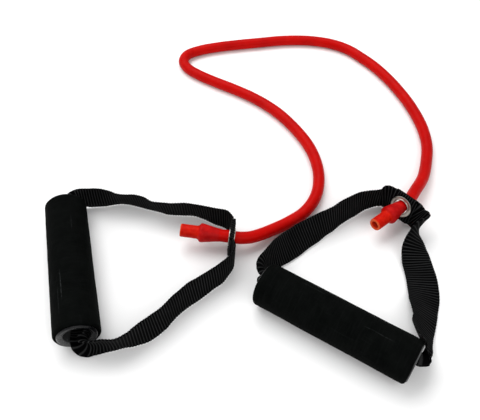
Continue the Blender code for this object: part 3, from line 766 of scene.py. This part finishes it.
along, width = strap_frame(LEFT_AXIS, False)
left = eye_stations(LEFT_EYE, LEFT_AXIS, along, width, 1.0, [-12.0, -6.0, 0.0, 6.0, 10.2])
left += [
    (-8.8, -24.4, 13.1, 0.08, 0.0, 1.00, 0), (-11.2, -21.3, 13.2, 0.08, -0.03, 1.00, 0), (-14.6, -19.6, 13.2, 0.06, -0.05, 1.00, 0), (-19, -18.0, 13.2, 0.0, -0.07, 1.00, 0), (-25, -15.8, 13.2, -0.03, -0.08, 1.00, 0),
    (-32.5, -12.7, 13.1, -0.08, -0.15, 0.99, 0), (-39.5, -10.5, 12.9, -0.06, -0.24, 0.97, 0), (-54, -9.4, 12.9, -0.02, -0.24, 0.97, 0),
    (-65, -8.3, 12.8, -0.05, -0.27, 0.97, 0), (-74, -6.3, 12.7, -0.10, -0.31, 0.95, 0), (-81.5, -3.1, 12.8, -0.10, -0.24, 0.97, 0),
    (-89, -0.6, 12.8, -0.10, -0.26, 0.96, 0), (-97, 0.9, 12.6, -0.06, -0.33, 0.94, 0), (-106, 2.2, 12.7, 0.0, -0.30, 0.95, 0),
    (-115, 3.1, 13.1, 0.02, -0.16, 0.99, 0), (-124, 2.6, 13.2, 0.0, -0.05, 1.0, 10), (-131.5, 0.9, 13.4, 0.0, 0.0, 1.0, 40),
    (-137.2, -1.3, 13.8, 0.0, 0.0, 1.0, 92), (-140.8, -3.8, 14.6, 0.0, 0.0, 1.0, 145),
]
left += core_stations(LEFT_GRIP, LEFT_GRIP_YAW, -15, -50)
left += [
    (-112.2, -134.6, 11.6, 0.42, 0.10, 0.90, 150, 0.35), (-108.0, -135.2, 12.5, 0.26, 0.0, 0.96, 110, 0.4), (-101, -135.4, 12.9, 0.12, -0.08, 0.99, 50, 0.2),
    (-91.5, -135.6, 13.0, 0.08, -0.17, 0.98, 12), (-82, -132.4, 13.1, 0.0, -0.05, 1.0, 0), (-73.5, -127.6, 13.1, -0.06, 0.15, 0.98, 0), (-65.7, -121.6, 12.9, -0.13, 0.18, 0.97, 0),
    (-59.9, -116.2, 13.0, -0.16, 0.13, 0.98, 0), (-53.9, -109.2, 13.1, -0.11, 0.08, 0.99, 0), (-47.7, -102.0, 13.1, -0.10, 0.10, 0.99, 0), (-40.5, -95.0, 13.0, -0.12, 0.13, 0.98, 0),
    (-33.0, -88.9, 13.1, -0.10, 0.12, 0.99, 0), (-24.7, -82.8, 13.1, -0.09, 0.10, 0.99, 0), (-16.6, -76.3, 13.2, -0.07, 0.07, 0.99, 0), (-10.4, -69.2, 13.2, -0.03, 0.02, 1.0, 0), (-5.8, -61.8, 13.2, 0.03, 0.0, 1.0, 0), (-4.9, -55.0, 13.1, 0.07, 0.0, 1.0, 0),
]
left += eye_stations(LEFT_EYE, LEFT_AXIS, along, width, -1.0, [-10.2, -6.0, 0.0, 6.0, 10.8])
build_strap("left_strap_webbing", left, LEFT_EYE, LEFT_AXIS, "left_handle", "left_webbing_strap", LEFT_GRIP, LEFT_GRIP_YAW)

along, width = strap_frame(RIGHT_EYE_NORMAL, True)
right = eye_stations(RIGHT_EYE, RIGHT_EYE_NORMAL, along, width, 1.0, [11.5, 6.0, 0.0, -6.0, -9.8])
right += [
    (128.0, 2.3, 14.2, 0.19, 0.18, 0.97, 0), (124.2, 3.4, 13.3, 0.0, -0.05, 1.0, 0), (117.6, 2.2, 13.0, -0.02, -0.08, 1.0, 0), (110.5, 0.4, 13.0, -0.04, 0.03, 0.98, 0), (103.5, -2.8, 13.0, -0.10, 0.15, 0.97, 0),
    (93.6, -9.0, 13.0, -0.12, 0.17, 0.97, 0), (82.4, -16.8, 12.9, -0.17, 0.19, 0.96, 0), (71.8, -24.2, 12.3, -0.26, 0.28, 0.93, 0),
    (61.1, -31.3, 11.4, -0.33, 0.40, 0.85, 0), (50.9, -38.2, 10.6, -0.38, 0.48, 0.78, 0), (40.7, -45.6, 10.2, -0.40, 0.50, 0.75, 0),
    (31.8, -53.6, 11.6, -0.34, 0.40, 0.84, 0), (25.2, -61.0, 13.4, -0.22, 0.20, 0.94, 15),
    (20.8, -67.8, 15.2, -0.10, 0.06, 0.99, 55, -0.1), (19.0, -73.8, 16.8, -0.03, 0.0, 1.0, 120, -0.2),
]
right += core_stations(RIGHT_GRIP, RIGHT_GRIP_YAW, 0, 14, 130.0)
right += [
    (131.9, -145.2, 19.2, -0.14, -0.12, 1.00, 285, 0.45), (132.4, -143.0, 19.6, -0.20, -0.10, 0.98, 245, 0.72), (132.7, -139.9, 19.4, -0.34, -0.06, 0.94, 175, 0.75),
    (133.0, -136.2, 18.2, -0.52, 0.0, 0.85, 100, 0.62), (133.9, -131.6, 15.8, -0.64, 0.14, 0.76, 48, 0.4), (136.0, -126.0, 12.6, -0.69, 0.26, 0.68, 20, 0.15),
    (138.8, -119.6, 9.7, -0.72, 0.27, 0.64, 10, 0), (140.8, -114.7, 8.0, -0.77, 0.25, 0.58, 0), (143.0, -105.8, 6.4, -0.85, 0.22, 0.46, 0), (145.2, -96.2, 4.2, -0.91, 0.20, 0.28, 0),
    (147.2, -87.0, 2.2, -0.97, 0.12, 0.10, 0), (148.0, -77.5, 1.6, -0.99, 0.0, 0.03, 0), (147.8, -66.5, 1.6, -0.99, -0.08, 0.03, 0), (146.6, -55.4, 2.6, -0.98, -0.11, 0.14, 0),
    (146.4, -45.6, 6.0, -0.91, -0.14, 0.38, 0), (148.2, -37.0, 9.2, -0.68, -0.30, 0.66, 0), (150.4, -30.4, 11.0, -0.35, -0.50, 0.78, 0), (152.9, -26.4, 10.8, 0.05, -0.42, 0.90, 0), (154.0, -22.8, 11.0, 0.38, -0.25, 0.89, 0),
    (152.6, -19.4, 11.6, 0.40, -0.12, 0.90, 0), (150.0, -16.9, 13.0, 0.27, 0.0, 0.96, 0),
]
right += eye_stations(RIGHT_EYE, RIGHT_EYE_NORMAL, along, width, -1.0, [10.5, 6.0, 0.0, -6.0, -10.6])
build_strap("right_strap_webbing", right, RIGHT_EYE, RIGHT_EYE_NORMAL, "right_handle", "right_webbing_strap", RIGHT_GRIP, RIGHT_GRIP_YAW)


# ---------------------------------------------------------------- turned pieces
def turned(name, profile, centre, axis, sides, material, wobble=None, grip=False):
    """A closed (radius, along) profile spun about an axis through centre, with wobble(angle, r, z) added to the radius."""
    z = axis.normalized()
    hint = Vector((0, 0, 1)) if abs(z.z) < 0.9 else Vector((1, 0, 0))
    y = z.cross(hint).normalized()
    x = y.cross(z)
    verts, faces, local = [], [], []
    count = len(profile)
    for s in range(sides):
        ang = 2 * math.pi * s / sides
        out = x * math.cos(ang) + y * math.sin(ang)
        for r, h in profile:
            rr, hh = r, h
            if wobble:
                dr, dh = wobble(ang, r, h)
                rr, hh = r + dr, h + dh
            v = centre + out * rr + z * hh
            v.z = max(v.z, 0.04)
            verts.append(v)
            local.append((math.cos(ang) * r * MM, math.sin(ang) * r * MM, h * MM))
    for s in range(sides):
        s2 = (s + 1) % sides
        for k in range(count):
            k2 = (k + 1) % count
            faces.append((s * count + k, s * count + k2, s2 * count + k2, s2 * count + k))
    ob = new_object(name, verts, faces, material)
    outward(ob)
    if grip:
        attribute = ob.data.attributes.new("grip", 'FLOAT_VECTOR', 'POINT')
        flat = [c for v in local for c in v]
        attribute.data.foreach_set("vector", flat)
    return ob


def arc(cx, cz, r, start, end, steps):
    """Points on an arc in the (radius, along) plane, angles in degrees."""
    return [(cx + r * math.cos(math.radians(start + (end - start) * k / steps)),
             cz + r * math.sin(math.radians(start + (end - start) * k / steps))) for k in range(steps + 1)]


def build_eyelet(side, eye, normal, body):
    half = LAYER + 0.30
    bore, rim = EYE_BORE_D / 2, EYE_FLANGE_D / 2
    neck = bore + 0.55
    # barrel: a broad domed flange, a groove, and the raised lip where the sheet turns down into the bore
    face = [(bore, -half - 0.9), (bore + 0.25, -half - 1.25)] + arc(bore + 0.75, -half - 1.2, 0.42, 200, 340, 4)
    face += [(neck + 0.62, -half - 0.7), (neck, -half - 0.55), (neck, half)]
    face += [(rim - 0.6, half)] + arc(rim - 0.4, half + 0.38, 0.38, -70, 80, 6)
    face += [(rim - 1.2, half + 0.86), (rim - 2.0, half + 0.80), (neck + 0.75, half + 0.52), (neck + 0.55, half + 0.56)]
    face += arc(bore + 0.62, half + 0.88, 0.58, 20, 180, 7)
    face += [(bore, half - 0.2)]
    a = turned(side + "_eyelet_rolled", face, eye, normal, 72, MATS["metal"])
    wash = [(neck + 0.9, -half)] + [(rim - 0.5, -half)] + arc(rim - 0.4, -half - 0.38, 0.38, 60, -90, 5) + [(rim - 1.6, -half - 0.86), (neck + 1.2, -half - 0.62), (neck + 0.9, -half - 0.5)]
    b = turned(side + "_eyelet_back", wash, eye, normal, 72, MATS["metal"])
    for ob, node in ((a, side + "_eyelet_barrel"), (b, side + "_eyelet_washer")):
        ob.data.set_sharp_from_angle(angle=math.radians(60))
        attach(ob, body)
        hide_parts(node)


build_eyelet("left", LEFT_EYE, LEFT_AXIS, "left_eyelet")
build_eyelet("right", RIGHT_EYE, RIGHT_EYE_NORMAL, "right_handle")


# ---------------------------------------------------------------- foam grips and their end caps
def build_grip(side, centre, yaw, body, ends, seed, taper):
    u = Vector((math.cos(math.radians(yaw)), math.sin(math.radians(yaw)), 0.0))
    half, r, bore = FOAM_LEN / 2, FOAM_D / 2, FOAM_BORE_D / 2

    def dent(ang, rr, h):
        if rr < r - 2.2:
            return 0.0, 0.0
        p = Vector((math.cos(ang), math.sin(ang), h * 0.035 + seed))
        soft = 0.20 * noise.noise(p * 1.3) + 0.10 * noise.noise(p * Vector((3.0, 3.0, 3.4)))
        fine = 0.035 * noise.noise(Vector((math.cos(ang) * 14, math.sin(ang) * 14, h * 0.9 + seed)))
        worn = 0.25 * noise.noise(Vector((math.cos(ang) * 1.6, math.sin(ang) * 1.6, seed + (5 if h > 0 else 9))))
        return soft + fine + taper * h / half, worn * smoothstep((abs(h) - half + 2.5) / 2.0)

    # the foam swells a little round the flange that is pressed against it
    lip = FLANGE_D / 2 + 0.35
    top = [(bore, half), (lip - 1.2, half), (lip - 0.15, half + 0.05), (lip, half + 0.45)]
    top += arc(lip + 0.55, half + 0.35, 0.55, 170, 95, 4) + arc(r - 2.4, half - 1.5, 2.4, 66, 4, 8)
    steps = 110
    profile = top + [(r, half - 3.0 - (FOAM_LEN - 6.0) * k / steps) for k in range(steps + 1)]
    profile += [(pr, -pz) for pr, pz in reversed(top)]
    foam = turned(side + "_foam_sleeve", profile, centre, u, 96, MATS["foam_" + side], dent, True)
    foam.data.set_sharp_from_angle(angle=math.radians(65))
    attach(foam, body)
    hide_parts(side + "_foam_grip")

    start = half + 0.12
    rim, hole, sleeve = FLANGE_D / 2, CAP_HOLE_D / 2, CAP_SLEEVE_D / 2
    for end, sign in zip(ends, (-1.0, 1.0)):
        prof = [(hole + 0.15, start - CAP_SLEEVE_LEN), (sleeve - 0.2, start - CAP_SLEEVE_LEN), (sleeve, start - CAP_SLEEVE_LEN + 0.4), (sleeve, start - 0.02), (rim - 0.3, start)]
        prof += arc(rim - 0.75, start + 0.75, 0.75, -50, 70, 6)
        prof += [(rim - 0.75, start + 1.72), (rim - 1.2, start + 1.88), (rim - 1.7, start + 1.84), (rim - 2.6, start + 1.52), (rim - 3.6, start + 1.14)]
        prof += arc(hole + 1.0, start - 0.02, 1.0, 70, 178, 10)
        prof = [(pr, pz * sign) for pr, pz in prof]
        cap = turned(side + "_cap_" + end, prof, centre, u, 96, MATS["cap_" + side], None, True)
        cap.data.set_sharp_from_angle(angle=math.radians(50))
        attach(cap, body)
        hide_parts(side + "_end_cap_" + end)


build_grip("left", LEFT_GRIP, LEFT_GRIP_YAW, "left_grip", ("far", "near"), 3.0, 0.35)
build_grip("right", RIGHT_GRIP, RIGHT_GRIP_YAW, "right_grip", ("left", "right"), 17.0, -0.1)

# ---------------------------------------------------------------- the pieces inside keep their CAD shape
for node, key in (("left_stop_plug", "plug"), ("right_stop_plug", "plug"), ("left_core_tube", "core"), ("right_core_tube", "core")):
    ob = bpy.data.objects[node]
    ob.data.materials.clear()
    ob.data.materials.append(MATS[key])
